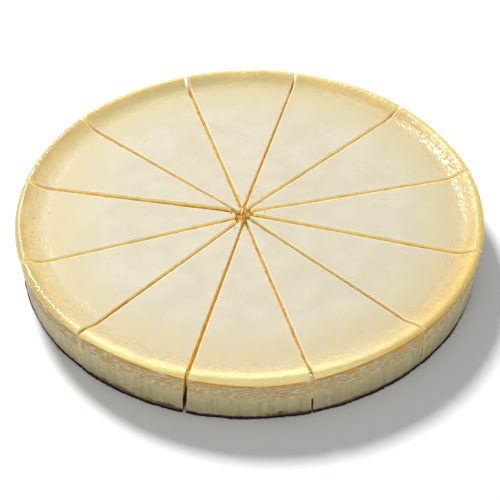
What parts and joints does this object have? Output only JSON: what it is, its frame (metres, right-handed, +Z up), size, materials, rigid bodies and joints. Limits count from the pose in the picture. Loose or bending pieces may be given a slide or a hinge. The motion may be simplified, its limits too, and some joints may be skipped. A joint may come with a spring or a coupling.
{
  "type": "cheesecake",
  "caption": "Round baked cheesecake with a low risen rim and a thin crumb base, cut into equal wedges that still lie together.",
  "frame": {"origin": "centre of the round underside, on the surface the cake stands on", "axes": "+Z up through the cake; -Y towards the viewer of the picture, +X to the right"},
  "size_m": [0.2588, 0.2595, 0.0315],
  "materials": {
    "filling": "baked cream-cheese filling, satin, a little glossy on the rim",
    "crumb": "rough pressed biscuit crumb"
  },
  "bodies": {
    "root": {"filling_01": "filling", "filling_02": "filling", "filling_03": "filling", "filling_04": "filling", "filling_05": "filling", "filling_06": "filling", "filling_07": "filling", "filling_08": "filling", "filling_09": "filling", "filling_10": "filling", "filling_11": "filling", "filling_12": "filling", "base_01": "crumb", "base_02": "crumb", "base_03": "crumb", "base_04": "crumb", "base_05": "crumb", "base_06": "crumb", "base_07": "crumb", "base_08": "crumb", "base_09": "crumb", "base_10": "crumb", "base_11": "crumb", "base_12": "crumb"}
  },
  "joints": []
}
